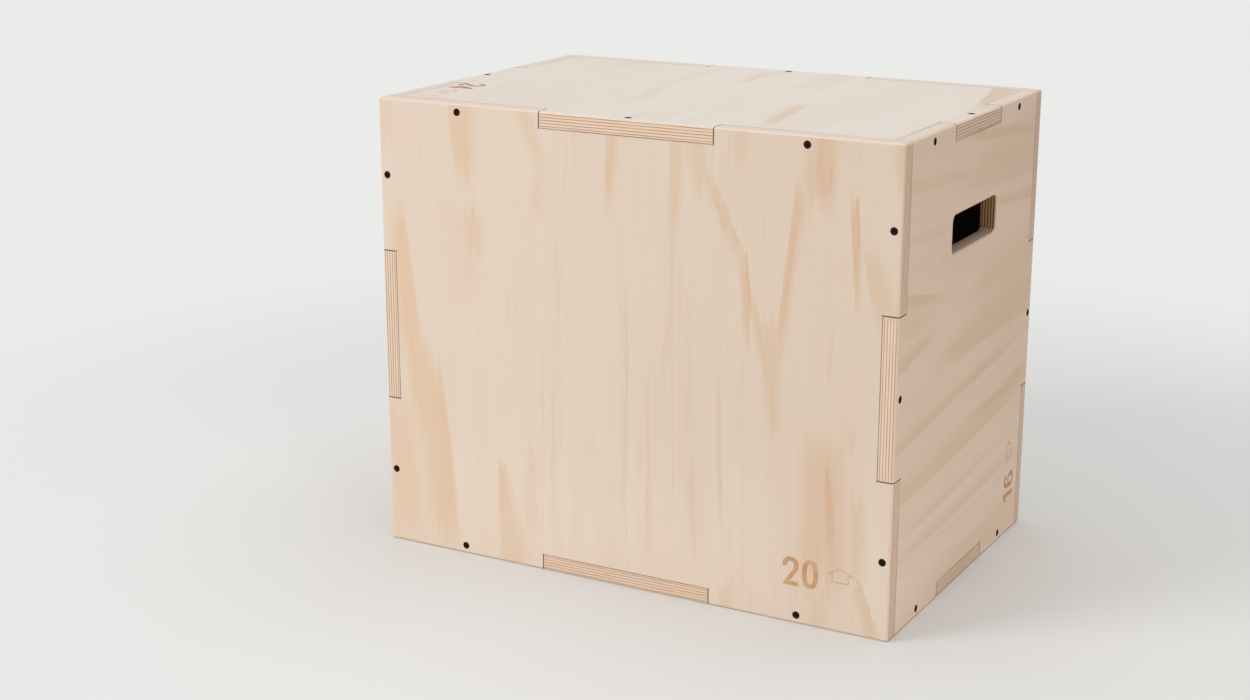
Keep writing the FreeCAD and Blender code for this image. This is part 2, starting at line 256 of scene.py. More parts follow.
# A streak of late wood runs from a start to an end, each given as (across the grain, along the grain,
# half width) in millimetres from the face's corner. Then come its bow sideways at half length, its sharp
# side (1 towards greater places across the grain, -1 towards lesser ones, 0 neither) and its strength.
FRONT_STREAKS = [
    ((17, 402, 11), (33, 190, 24), 0, 1, 0.54),
    ((44, 262, 12), (56, 90, 22), 0, 0, 0.44),
    ((62, 236, 11), (72, -30, 34), -3, 1, 0.54),
    ((18, 190, 22), (24, -40, 36), 0, 0, 0.38),
    ((33, 275, 7), (46, 125, 10), 0, 0, 0.56),
    ((63, 150, 6), (74, -20, 18), 0, 0, 0.52),
    ((110, 540, 20), (112, 405, 13), 0, -1, 0.50),
    ((118, 402, 18), (120, 330, 18), 0, 0, 0.44),
    ((106, 420, 34), (110, 260, 32), 0, 0, 0.20),
    ((8, 530, 14), (10, 450, 12), 0, 0, 0.26),
    ((170, 530, 15), (214, 425, 12), 3, 0, 0.34),
    ((206, 462, 12), (196, 380, 10), 0, 0, 0.22),
    ((151, 126, 4), (162, 35, 15), 0, -1, 0.54),
    ((160, 80, 12), (174, -40, 24), 0, -1, 0.42),
    ((192, 145, 8), (188, 20, 12), 0, 0, 0.24),
    ((292, 520, 8), (286, 395, 5), 0, -1, 0.56),
    ((368, 520, 10), (362, 360, 5), 0, -1, 0.42),
    ((365, 420, 4), (361, 260, 4), 0, -1, 0.28),
    ((380, 520, 15), (396, 425, 8), 0, 1, 0.36),
    ((392, 475, 7), (446, 345, 10), 4, 1, 0.46),
    ((441, 382, 6), (446, 280, 4), 0, 1, 0.64),
    ((449, 355, 6), (476, 244, 5), -3, 1, 0.50),
    ((505, 475, 8), (482, 248, 5), -1, -1, 0.66),
    ((476, 335, 17), (474, 195, 8), 0, 0, 0.42),
    ((477, 280, 4), (474, 190, 7), 0, 0, 0.52),
    ((438, 530, 14), (436, 455, 6), 0, 0, 0.26),
    ((536, 540, 15), (528, 415, 10), 0, -1, 0.70),
    ((524, 530, 24), (514, 415, 8), 0, 0, 0.44),
    ((558, 465, 4), (568, 310, 5), 0, -1, 0.66),
    ((576, 410, 10), (606, 310, 17), 0, -1, 0.46),
    ((606, 540, 12), (606, 445, 6), 0, 0, 0.42),
    ((534, 225, 26), (540, 5, 40), 0, 0, 0.54),
    ((539, 185, 5), (546, 65, 10), 0, 0, 0.90),
    ((571, 165, 8), (573, 40, 13), 0, 0, 0.36),
    ((562, 225, 10), (560, 185, 10), 0, 0, 0.22),
    ((564, 80, 5), (600, -25, 11), 0, 1, 0.50),
    ((535, 45, 9), (531, -30, 11), 0, 0, 0.32),
    ((425, 40, 9), (424, -30, 9), 0, 0, 0.30),
    ((306, 350, 3), (304, 40, 4), 0, 1, 0.34),
    ((333, 250, 4), (335, 20, 5), 0, -1, 0.24),
    ((386, 170, 5), (384, 30, 5), 0, 1, 0.24),
    ((414, 260, 3), (419, 70, 4), 0, 1, 0.40),
    ((408, 445, 2.5), (424, 395, 2.5), 0, 1, 0.75),
    ((443, 392, 2), (450, 312, 2), 0, 1, 0.95),
    ((500, 432, 2.2), (487, 310, 2), 0, -1, 0.85),
    ((560, 458, 2), (567, 372, 2), 0, -1, 0.90),
    ((537, 495, 3), (533, 445, 3), 0, 0, 0.90),
    ((528, 505, 7), (508, 440, 6), 0, 1, 0.50),
]
RIGHT_STREAKS = [
    ((352, -30, 10), (326, 150, 5), 0, 1, 0.52),
    ((284, -30, 12), (306, 130, 6), 0, -1, 0.48),
    ((328, -30, 24), (318, 125, 6), 0, 0, 0.26),
    ((262, 80, 10), (302, 520, 44), 0, -1, 0.50),
    ((320, 190, 20), (334, 520, 44), 0, 0, 0.34),
    ((194, -80, 8), (246, 480, 8), 3, -1, 0.46),
    ((217, 190, 4), (233, 350, 6), 0, 0, 0.58),
    ((146, -80, 14), (196, 500, 21), -3, -1, 0.48),
    ((176, 200, 9), (188, 450, 15), 0, 0, 0.58),
    ((191, 320, 4), (195, 420, 7), 0, 0, 0.66),
    ((103, -20, 7), (126, 380, 6), 0, -1, 0.32),
    ((77, -60, 8), (102, 480, 7), 0, -1, 0.36),
    ((22, 60, 20), (28, 540, 36), 0, 0, 0.28),
    ((452, 180, 22), (446, 480, 46), 0, 0, 0.34),
    ((498, 140, 7), (458, 480, 7), 0, -1, 0.50),
    ((483, 255, 3), (478, 345, 4), 0, 0, 0.60),
    ((471, -60, 7), (442, 320, 7), 0, -1, 0.30),
    ((441, 150, 6), (418, 500, 7), 0, -1, 0.36),
    ((409, 230, 6), (389, 500, 9), 0, -1, 0.48),
    ((413, -40, 6), (402, 160, 6), 0, -1, 0.26),
]
TOP_STREAKS = [
    ((562, 470, 17), (609, 190, 11), 0, -1, 0.52),
    ((418, 190, 11), (450, 10, 9), 0, 1, 0.40),
    ((286, 390, 7), (298, 265, 9), 0, 1, 0.36),
    ((230, 220, 11), (257, 115, 13), 0, 0, 0.24),
    ((300, 450, 14), (304, 360, 8), 0, 0, 0.24),
    ((120, 440, 18), (100, 250, 12), 0, 0, 0.16),
    ((20, 50, 24), (150, -30, 30), 0, 0, 0.24),
]
BACK_STREAKS = [
    ((540, 530, 24), (556, 60, 14), 8, -1, 0.50),
    ((470, 330, 5), (446, -20, 22), -4, 1, 0.50),
    ((300, 530, 20), (332, 250, 6), 12, 1, 0.48),
    ((382, 530, 14), (336, 250, 6), -12, -1, 0.45),
    ((236, 420, 8), (222, 130, 14), 0, -1, 0.40),
    ((150, 530, 10), (168, 300, 18), 0, 0, 0.34),
    ((60, 300, 8), (86, -20, 30), 0, 1, 0.52),
    ((20, 530, 18), (40, 330, 8), 0, -1, 0.36),
    ((96, 470, 6), (112, 210, 5), 3, -1, 0.40),
    ((190, 260, 5), (198, -20, 9), 0, 1, 0.38),
    ((262, 210, 4), (258, 10, 6), 0, 1, 0.34),
    ((334, 330, 16), (335, 180, 8), 0, 0, 0.40),
    ((318, 160, 4), (322, -20, 7), 0, -1, 0.42),
    ((398, 300, 4), (404, 60, 5), 0, 1, 0.36),
    ((430, 540, 12), (424, 380, 6), 0, 0, 0.30),
    ((508, 540, 16), (500, 330, 7), 0, 1, 0.44),
    ((514, 220, 6), (530, -20, 12), 0, -1, 0.42),
    ((588, 300, 8), (600, 40, 16), 0, 0, 0.36),
    ((130, 160, 10), (140, -30, 18), 0, 0, 0.30),
]
LEFT_STREAKS = [
    ((70, -30, 16), (104, 440, 8), 0, -1, 0.48),
    ((150, -30, 7), (178, 440, 12), 8, 1, 0.44),
    ((236, 440, 14), (262, 190, 6), 4, 1, 0.44),
    ((300, 440, 12), (266, 190, 5), -4, -1, 0.42),
    ((352, -30, 8), (338, 300, 14), 0, 1, 0.38),
    ((446, -30, 10), (462, 440, 8), -6, -1, 0.40),
    ((30, 150, 10), (46, 440, 18), 0, -1, 0.36),
    ((206, -30, 5), (214, 180, 7), 0, -1, 0.38),
    ((268, 210, 16), (270, 90, 6), 0, 0, 0.34),
    ((316, 60, 6), (322, 300, 5), 0, 1, 0.30),
    ((392, 100, 6), (408, 440, 8), 0, -1, 0.42),
    ((424, -30, 12), (420, 160, 6), 0, 0, 0.34),
    ((484, 120, 8), (492, 440, 12), 0, 1, 0.30),
]
BOTTOM_STREAKS = [
    ((70, -30, 16), (92, 440, 10), 0, -1, 0.46),
    ((200, 440, 12), (226, 120, 5), 6, 1, 0.44),
    ((262, 440, 12), (230, 120, 5), -6, -1, 0.42),
    ((360, -30, 8), (348, 300, 14), 0, 1, 0.40),
    ((480, -30, 18), (470, 440, 10), 6, -1, 0.46),
    ((566, 440, 9), (580, 60, 16), 0, 0, 0.34),
    ((130, 260, 6), (142, -30, 10), 0, 1, 0.36),
    ((228, 160, 12), (229, 60, 6), 0, 0, 0.34),
    ((300, 200, 4), (306, -20, 6), 0, -1, 0.36),
    ((410, 440, 10), (418, 200, 5), 0, -1, 0.38),
    ((522, 300, 5), (530, 20, 8), 0, 1, 0.34),
]


# where a streak's colour sets in and ends: across it in half widths, along it in shares of its length
SHARP_RISE = (-1.5, 0.2)
SHARP_DROP = (0.8, 1.1)
SOFT_DROP = (0.25, 1.25)
FADE_IN = (0.0, 0.22)
FADE_OUT = (0.62, 1.0)


def streak(finish, across, along, ragged, start, end, bow, sharp, strength):
    """One streak of late wood.

    With t from 0 at the start to 1 at the end, its centre is start + (end - start) t + 4 bow t (1 - t),
    and s is the distance from that centre in half widths. The colour rises with s to the sharp side
    and drops there at once, or falls off on both sides alike. It fades in and out over the first and
    last of t, where the ragged place along the grain makes the ends run out in points.
    """
    (centre_0, place_0, half_0), (centre_1, place_1, half_1) = start, end
    t = (along - place_0) / (place_1 - place_0)
    tip = (ragged - place_0) / (place_1 - place_0)
    centre = between(centre_0, centre_1, t)
    if bow:
        centre = centre + 4 * bow * t * (1 - t)
    s = (across - centre) / between(half_0, half_1, t)
    if sharp:
        towards = s * sharp
        body = finish.rise(*SHARP_RISE, towards) * (1 - finish.rise(*SHARP_DROP, towards))
    else:
        body = 1 - finish.rise(*SOFT_DROP, abs(s))
    ends = finish.rise(*FADE_IN, tip) * (1 - finish.rise(*FADE_OUT, tip))
    return body * ends * strength


OUTWARDS = {
    "front": (0, -1, 0), "back": (0, 1, 0), "right": (1, 0, 0),
    "left": (-1, 0, 0), "top": (0, 0, 1), "bottom": (0, 0, -1),
}
SCREW_NODES = sorted(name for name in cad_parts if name.endswith("_screws"))

# a countersink's painted shade: its dark spot and its soft rim, in millimetres
SHADE_SPOT_RADIUS = 4.0
SHADE_SPOT_RIM = 0.25


def screw_centres(node):
    """The direction out of a node's panel, the one along its pair, and the middles of both screw heads.

    The pair's box is as wide as one screw across, so the middles lie half of its least side in from its
    ends, in the face that is outwards.
    """
    low, high = (MM * np.array(corner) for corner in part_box(node))
    out = np.array(OUTWARDS[node.split("_")[0]], float)
    aside = np.eye(3)[np.argmax((high - low) * (out == 0))]
    reach = (high - low).min() / 2
    head = np.where(out > 0, high, np.where(out < 0, low, (low + high) / 2))
    return out, aside, [np.where(aside > 0, end, head) for end in (low + reach, high - reach)]


def screw_spots(name, panel):
    """How far a panel's screws lie off its middle lines, across and along the grain, mirrored ones once."""
    spots = set()
    for node in SCREW_NODES:
        if node.startswith(f"{name}_"):
            for centre in screw_centres(node)[2]:
                across, along, _, size_across, size_along = panel(*centre.tolist())
                across_off, along_off = abs(across - size_across / 2), abs(along - size_along / 2)
                spots.add((round(across_off, 1), round(along_off, 1)))
    return sorted(spots)


# figures of the veneer's noises: spans in millimetres across and along the grain, own seed, detail
SWAY = (60, 170, 0.5, 2.0)
RINGS = (95, 900, 3.5, 1.0)
FIBRES = (0.9, 60, 5.5, 3.0)
FRAY = (2.2, 40, 7.5, 3.0)
WARMTH = (130, 380, 9.5, 2.0)
TIPS = (5.2, 420, 11.5, 2.0)
DULLNESS = (30, 420, 13.5, 2.0)
FLECKS = (0.8, 9, 17.5, 1.0)
HAIRLINES = (9, 800, 21.5, 1.0)
HAIRLINE_PATCHES = (45, 260, 23.5, 2.0)
MOTTLE = (16, 80, 27.5, 3.0)
FIBRE_HARSHNESS = 0.6

# how far, in millimetres, sway and fray push a place across the grain, and tips push it along the grain
# in a streak's body and at its ends
SWAY_REACH = 13
FRAY_REACH = 2.4
FEATHER_REACH = 16
RAGGED_REACH = 60

# the part of a noise over which a feature sets in, and how strongly it shows
MOTTLE_STRENGTHS = (0.65, 1.45)
RINGS_PER_NOISE = 9
RING_SHARPNESS = 3.0
RING_STRENGTH = 0.09
HAIRLINE_RANGE = (0.46, 0.66)
HAIRLINE_WIDTH = 0.035
HAIRLINE_STRENGTH = 0.3
WARM_RANGE = (0.3, 0.7)
DULL_RANGE = (0.42, 0.75)
DULL_STRENGTH = 0.5
FLECK_RANGE = (0.735, 0.80)
FLECK_STRENGTH = 0.35
FLECK_PIT = 0.5
LATE_STRENGTHS = (0.78, 1.22)
FIBRE_SHADES = (0.965, 1.035)


def veneer(finish, across, along, seed, ground, late_wood, streaks):
    """The colour and relief of a rotary-cut face: streaks of late wood, rings, hairlines, fibres, flecks.

    Stretched noise pushes the place across the grain sideways, so that edges waver along the grain.
    Faint rings are the saw-tooth of a slow noise, hairlines are where a stretched noise crosses its
    middle, and fibres are fine noise stretched far along the grain.
    """
    sway = finish.grain(across, along, seed, SWAY) - 0.5
    fray = finish.grain(across, along, seed, FRAY) - 0.5
    tips = finish.grain(across, along, seed, TIPS) - 0.5
    wavered = across + sway * SWAY_REACH + fray * FRAY_REACH
    feathered = along + tips * FEATHER_REACH
    ragged = along + tips * RAGGED_REACH
    late = 0.0
    for shape in streaks:
        late = finish.most(late, streak(finish, wavered, feathered, ragged, *shape))
    late = late * between(*MOTTLE_STRENGTHS, finish.grain(wavered, feathered, seed, MOTTLE))
    slow = finish.grain(wavered, feathered, seed, RINGS)
    rings = finish.math("FRACT", slow * RINGS_PER_NOISE)
    late = late + finish.math("POWER", rings, RING_SHARPNESS) * RING_STRENGTH
    crossing = abs(finish.grain(wavered, feathered, seed, HAIRLINES) - 0.5)
    there = finish.rise(*HAIRLINE_RANGE, finish.grain(wavered, along, seed, HAIRLINE_PATCHES))
    hairlines = (1 - finish.rise(0.0, HAIRLINE_WIDTH, crossing)) * there
    late = finish.most(late, hairlines * HAIRLINE_STRENGTH)
    fibre = finish.grain(across, along, seed, FIBRES, FIBRE_HARSHNESS)
    warm = finish.rise(*WARM_RANGE, finish.grain(wavered, along, seed, WARMTH))
    dull = finish.rise(*DULL_RANGE, finish.grain(wavered, along, seed, DULLNESS))
    fleck = finish.rise(*FLECK_RANGE, finish.grain(across, along, seed, FLECKS))
    base = finish.blend(warm, ground, WARM_TONE, "MULTIPLY")
    base = finish.blend(dull * DULL_STRENGTH, base, DULL_TONE, "MULTIPLY")
    wood = finish.blend(late * between(*LATE_STRENGTHS, fibre), base, late_wood)
    wood = finish.blend(fleck * FLECK_STRENGTH, wood, FLECK)
    shade = between(*FIBRE_SHADES, fibre)
    grey = finish.node("ShaderNodeCombineColor", {}, {0: shade, 1: shade, 2: shade})
    wood = finish.blend(1.0, wood, grey, "MULTIPLY")
    return wood, fibre - FLECK_PIT * fleck


# spans of the noises in a ply edge, in millimetres across and along the grain and in depth
PLY_DRIFT = (40, 40, 5)
PLY_PATCHES = (60, 60, 3)
PLY_LINES = (26, 26, 0.16)
PLY_PORES = 0.5

# how far plies waver, and where a dark ply sets in, how dark it is and how much wider in the hand hole's
# cut, partly as rough wood and partly as painted shade
PLY_WAVER = 0.5
DARK_PLY_EDGE = (PALE_PLY - 0.2, PALE_PLY + 0.15)
DARK_PLY_STRENGTHS = (0.55, 1.0)
SHADED_CUT_WIDENING = 0.5
PATCH_RANGE = (0.3, 0.7)

# the glue line at a change of plies, the lines in pale plies, the pores in dark ones, and paler top edges
GLUE_WIDTH = 0.28
GLUE_STRENGTH = 0.3
LINE_RANGE = (0.3, 0.8)
LINE_STRENGTH = 0.22
PORE_RANGE = (0.35, 0.7)
PORE_STRENGTH = 0.35
PALE_TOP_EDGE_STRENGTH = 0.62
DARK_PLY_DIP = 0.8


def ply_edge(finish, place, cut, pale_top):
    """The colour and relief of the plies where a panel's thickness shows.

    The place is given across the grain, along it and in depth. Plies follow in depth with the pitch of
    one pale and one dark ply, wavering a little, with a thin glue line at each change. Where cut is 1,
    in the hand hole's cut, both are browner and the dark plies are wider, partly as rough wood and partly
    as painted shade. Where the last value is 1, at the top edges, both are nearly as pale as the face.
    """
    drift = finish.cloud(place, PLY_DRIFT) - 0.5
    ply = finish.math("FRACT", (place[2] + drift * PLY_WAVER) / PLY_PITCH) * PLY_PITCH
    change = finish.math("MINIMUM", abs(ply - PALE_PLY), abs(ply - PLY_PITCH))
    patchy = finish.rise(*PATCH_RANGE, finish.cloud(place, PLY_PATCHES))
    dark = finish.rise(*DARK_PLY_EDGE, ply + SHADED_CUT_WIDENING * cut)
    dark = dark * finish.most(cut, between(*DARK_PLY_STRENGTHS, patchy))
    glue = (1 - finish.rise(0.0, GLUE_WIDTH, change)) * GLUE_STRENGTH
    lines = finish.cloud(place, PLY_LINES)
    pores = finish.cloud(place, PLY_PORES, detail=1.0)
    pale = finish.blend(finish.rise(*LINE_RANGE, lines) * LINE_STRENGTH, PLY_LIGHT, PLY_DARK)
    pale = finish.blend(cut, pale, SHADED_CUT_PALE_PLY)
    brown = finish.blend(finish.rise(*PORE_RANGE, pores) * PORE_STRENGTH, PLY_DARK, GLUE_LINE)
    brown = finish.blend(cut, brown, SHADED_CUT_DARK_PLY)
    edge = finish.blend(glue, finish.blend(dark, pale, brown), GLUE_LINE)
    edge = finish.blend(pale_top * PALE_TOP_EDGE_STRENGTH, edge, PALE_TOP_EDGE_TONE)
    return edge, lines - dark * DARK_PLY_DIP


# the dark line of a joint, partly its dark cut edges and partly painted shadow of its gap: its half width,
# soft at the rim, and how far in from the edge it starts
JOINT_LINE = (0.4, 0.95)
JOINT_START = (THICKNESS + 1.0, THICKNESS + 0.2)


def joint_lines_and_shadows(finish, across_off, along_off, size_across, size_along):
    """Dark lines where the ends of a tab meet its notch, partly dark cut edges and partly painted shadow:
    half a tab off the middle, and near an edge.
    """
    lines = 0.0
    both_ways = (
        (across_off, size_across, along_off, size_along),
        (along_off, size_along, across_off, size_across),
    )
    for off, size, other, other_size in both_ways:
        near_edge = finish.rise(*(other_size / 2 - start for start in JOINT_START), other)
        gap = 1 - finish.rise(*JOINT_LINE, abs(off - size * TAB_SHARE / 2))
        lines = finish.most(lines, near_edge * gap)
    return lines


# the hand hole: the soft edge of its rim, how much of the cut's browner colour and painted shade its lower
# wall shows, less than the other walls so that it is painted lighter as painted light, and the height over
# which that grows, in millimetres
HOLE_RIM = (-0.2, 0.3)
SILL_SHADE_SHARE = 0.12
SILL_SHADE_RISE = 4


def shaded_hand_hole_walls(finish, across, along):
    """Up to 1 in the walls and on the rim of a side panel's hand hole, darkened partly as rough wood and
    partly as painted shade; less on its lower wall, which is painted lighter as painted light; else 0.
    """
    inside = 1.0
    middles = (HEIGHT - HAND_HOLE_DROP, DEPTH / 2)
    for place, middle, size in zip((across, along), middles, HAND_HOLE_SIZE):
        rim = size / 2 + HAND_HOLE_BEVEL
        inside = inside * (1 - finish.rise(*(rim + soft for soft in HOLE_RIM), abs(place - middle)))
    sill = middles[0] - HAND_HOLE_SIZE[0] / 2
    return inside * between(SILL_SHADE_SHARE, 1.0, finish.rise(sill, sill + SILL_SHADE_RISE, across))


def painted_screw_hole_shade(finish, across_off, along_off, spots):
    """The painted shade of a panel's screws: 1 within their countersinks, 0 elsewhere, from the places off
    its middle lines.
    """
    hole_shade = 0.0
    for across_spot, along_spot in spots:
        away = (across_off - across_spot) * (across_off - across_spot)
        away = away + (along_off - along_spot) * (along_off - along_spot)
        spot = 1 - finish.rise(SHADE_SPOT_RADIUS ** 2, (SHADE_SPOT_RADIUS + SHADE_SPOT_RIM) ** 2, away)
        hole_shade = finish.most(hole_shade, spot)
    return hole_shade


# depths in a sheet: its back veneer, the skin of a face veneer, and the seam where another panel meets it,
# darkened partly as glue and partly as painted shadow
BACK_DEPTHS = (THICKNESS - 0.3, THICKNESS - 0.1)
SKIN_DEPTHS = (0.1, 0.5)
SEAM_DEPTHS = (THICKNESS - 1.2, THICKNESS - 0.75)
SEAM_SPAN = 90
SEAM_RANGE = (0.3, 0.65)
SEAM_STRENGTHS = (0.4, 0.85)
JOINT_STRENGTH = 0.85

# how far in from a sheet's edge the panel behind it reaches
PAST_EDGE = (THICKNESS + 0.1, THICKNESS + 0.3)

# places on the box: paler top edges, edges that face sideways and are darker towards the top, and the foot,
# painted paler as painted light
PALE_TOP_EDGE_HEIGHTS = (HEIGHT - 3.0, HEIGHT - 0.4)
SIDEWAYS_EDGE = (WIDTH / 2 - 6, WIDTH / 2 - 2)
SIDE_EDGE_HEIGHTS = (HEIGHT / 4, HEIGHT)
PAINTED_FOOT_LIGHT_HEIGHTS = (20, 220)

# roughness and gloss of bare wood, and its relief in metres
WOOD_ROUGHNESS = 0.56
FIBRE_ROUGHNESS = 0.12
EDGE_ROUGHNESS = 0.12
WOOD_GLOSS = 0.32
WOOD_RELIEF = 0.00012


def plywood(name, panel, grounds, streaks, seed):
    """Plywood as a solid: its colour is worked out from the depth under the outer face.

    panel gives the values across the grain, along the grain and in depth from the three coordinates,
    with the panel's size across and along. At depth 0 the face veneer shows, at full thickness a darker
    back veneer, and between them the plies. Where another panel meets the inner face, its last
    millimetre is a dark seam, partly glue and partly painted shadow of the joint. Edges are paler at the
    top and darker at the sides, more so towards the top, and the early wood is painted paler near the
    floor as painted light.
    """
    finish = finish_named(f"{name}_plywood")
    x, y, z = finish.coordinates()
    across, along, depth, size_across, size_along = panel(x, y, z)
    across_off, along_off = abs(across - size_across / 2), abs(along - size_along / 2)
    ground = finish.blend(across / size_across, *grounds)
    late_wood = finish.blend(across / size_across, *LATE_WOOD)
    # painted light: the early wood is made paler near the floor
    ground = finish.blend(1 - finish.rise(*PAINTED_FOOT_LIGHT_HEIGHTS, z), ground, PAINTED_FOOT_LIGHT, "MULTIPLY")
    face, fibre = veneer(finish, across, along, seed, ground, late_wood, streaks)
    face = finish.blend(finish.rise(*BACK_DEPTHS, depth), face, BACK_VENEER)
    # the hand hole's walls are darkened partly as rough wood and partly as painted shade, the lower wall
    # less, as painted light
    cut = shaded_hand_hole_walls(finish, across, along) if name in ("left", "right") else 0.0
    # edges at the top are made paler
    pale_top = finish.rise(*PALE_TOP_EDGE_HEIGHTS, z)
    edge, ridges = ply_edge(finish, (across, along, depth), cut, pale_top)
    sideways = finish.rise(*SIDEWAYS_EDGE, abs(x)) * (1 - pale_top)
    # edges at the sides are made darker, more so towards the top
    side_darkening = sideways * finish.rise(*SIDE_EDGE_HEIGHTS, z)
    edge = finish.blend(side_darkening, edge, SIDE_EDGE_TONE, "MULTIPLY")
    on_edge = finish.rise(*SKIN_DEPTHS, depth) * finish.rise(*SKIN_DEPTHS, THICKNESS - depth)
    wood = finish.blend(on_edge, face, edge)
    inside = 1.0
    for off, size in ((across_off, size_across), (along_off, size_along)):
        inside = inside * finish.rise(*PAST_EDGE, size / 2 - off)
    tight = finish.rise(*SEAM_RANGE, finish.cloud((across, along, depth), SEAM_SPAN))
    seam = finish.rise(*SEAM_DEPTHS, depth) * (1 - inside) * between(*SEAM_STRENGTHS, tight)
    joint_shadows = joint_lines_and_shadows(finish, across_off, along_off, size_across, size_along) * JOINT_STRENGTH
    # seams and joint lines are darkened partly as glue and cut edges and partly as painted shadow
    wood = finish.blend(finish.most(seam, joint_shadows), wood, SEAM_GLUE_AND_PAINTED_SHADOW)
    hole_shade = painted_screw_hole_shade(finish, across_off, along_off, screw_spots(name, panel))
    # painted shade: the screw countersinks are drawn near black
    wood = finish.blend(hole_shade, wood, SCREW_HOLE_PAINTED_SHADE)
    rough = WOOD_ROUGHNESS + FIBRE_ROUGHNESS * fibre + EDGE_ROUGHNESS * on_edge
    constants = {"Specular IOR Level": WOOD_GLOSS}
    changing = {"Base Color": wood, "Roughness": rough}
    return finish.surface(finish.shader(constants, changing, fibre + on_edge * ridges, WOOD_RELIEF))


# each panel: from the three coordinates, the place across and along the grain and in depth with the size
# across and along, then the sheet's early wood and its streaks
PANELS = {
    "front": (
        lambda x, y, z: (x + WIDTH / 2, z, y + DEPTH / 2, WIDTH, HEIGHT),
        FRONT_GROUND, FRONT_STREAKS,
    ),
    "back": (
        lambda x, y, z: (WIDTH / 2 - x, z, DEPTH / 2 - y, WIDTH, HEIGHT),
        BACK_GROUND, BACK_STREAKS,
    ),
    "right": (
        lambda x, y, z: (z, y + DEPTH / 2, WIDTH / 2 - x, HEIGHT, DEPTH),
        RIGHT_GROUND_AND_PAINTED_LIGHT, RIGHT_STREAKS,
    ),
    "left": (
        lambda x, y, z: (z, y + DEPTH / 2, WIDTH / 2 + x, HEIGHT, DEPTH),
        LEFT_GROUND, LEFT_STREAKS,
    ),
    "top": (
        lambda x, y, z: (x + WIDTH / 2, y + DEPTH / 2, HEIGHT - z, WIDTH, DEPTH),
        TOP_GROUND, TOP_STREAKS,
    ),
    "bottom": (
        lambda x, y, z: (x + WIDTH / 2, y + DEPTH / 2, z, WIDTH, DEPTH),
        BOTTOM_GROUND, BOTTOM_STREAKS,
    ),
}
SEED_STEP = 20.0


def dress_panels():
    """Gives each panel its own sheet of plywood."""
    for number, (name, (panel, grounds, streaks)) in enumerate(PANELS.items()):
        material = plywood(name, panel, grounds, streaks, SEED_STEP * number)
        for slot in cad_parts[f"{name}_panel"].material_slots:
            slot.material = material


# points nearer than this are one, in metres
DOUBLES = 1e-7


def mesh_piece(name, points, faces, material):
    """A piece from an array of points and a list of faces, with doubles merged and faces turned outwards."""
    mesh = bpy.data.meshes.new(name)
    mesh.from_pydata(points.tolist(), [], faces)
    work = bmesh.new()
    work.from_mesh(mesh)
    bmesh.ops.remove_doubles(work, verts=work.verts, dist=DOUBLES)
    bmesh.ops.recalc_face_normals(work, faces=work.faces)
    work.to_mesh(mesh)
    work.free()
    mesh.materials.append(material)
    piece = bpy.data.objects.new(name, mesh)
    bpy.context.scene.collection.objects.link(piece)
    return piece


def ring_faces(rings, around):
    """Quads between neighbouring rings of a closed grid: ring i, step j to ring i + 1, step j + 1."""
    i, j = np.meshgrid(np.arange(rings - 1), np.arange(around), indexing="ij")
    ahead = (j + 1) % around
    corners = [i * around + j, i * around + ahead, (i + 1) * around + ahead, (i + 1) * around + j]
    return np.stack(corners, axis=-1).reshape(-1, 4).tolist()


# wood screw, in millimetres: the head and the shank clear the flats of the hole that they sit in. Half the
# width of the thread's ridge is a share of its pitch.
HEAD_RADIUS = 3.38
HEAD_EDGE = 0.35
NECK_DEPTH = 2.05
SHANK_RADIUS = 1.40
THREAD_RADIUS = 1.76
THREAD_PITCH = 1.9
SCREW_LENGTH = 45.0
POINT_LENGTH = 6.0
THREAD_START = 6
THREAD_RUNOUT = 4
RIDGE_HALF = 0.28
DOME_HEIGHT = 0.12

# the cross recess: the reach and half width of its slots, their depth, the slopes' widths at sides and ends
DRIVE_SPAN = 2.3
DRIVE_HALF = 0.55
DRIVE_DEPTH = 1.7
DRIVE_SIDE_SLOPE = 0.18
DRIVE_END_SLOPE = 1.2

# how finely a screw is divided
STEPS_AROUND = 48
HEAD_RINGS = 22
SHANK_RINGS = 150


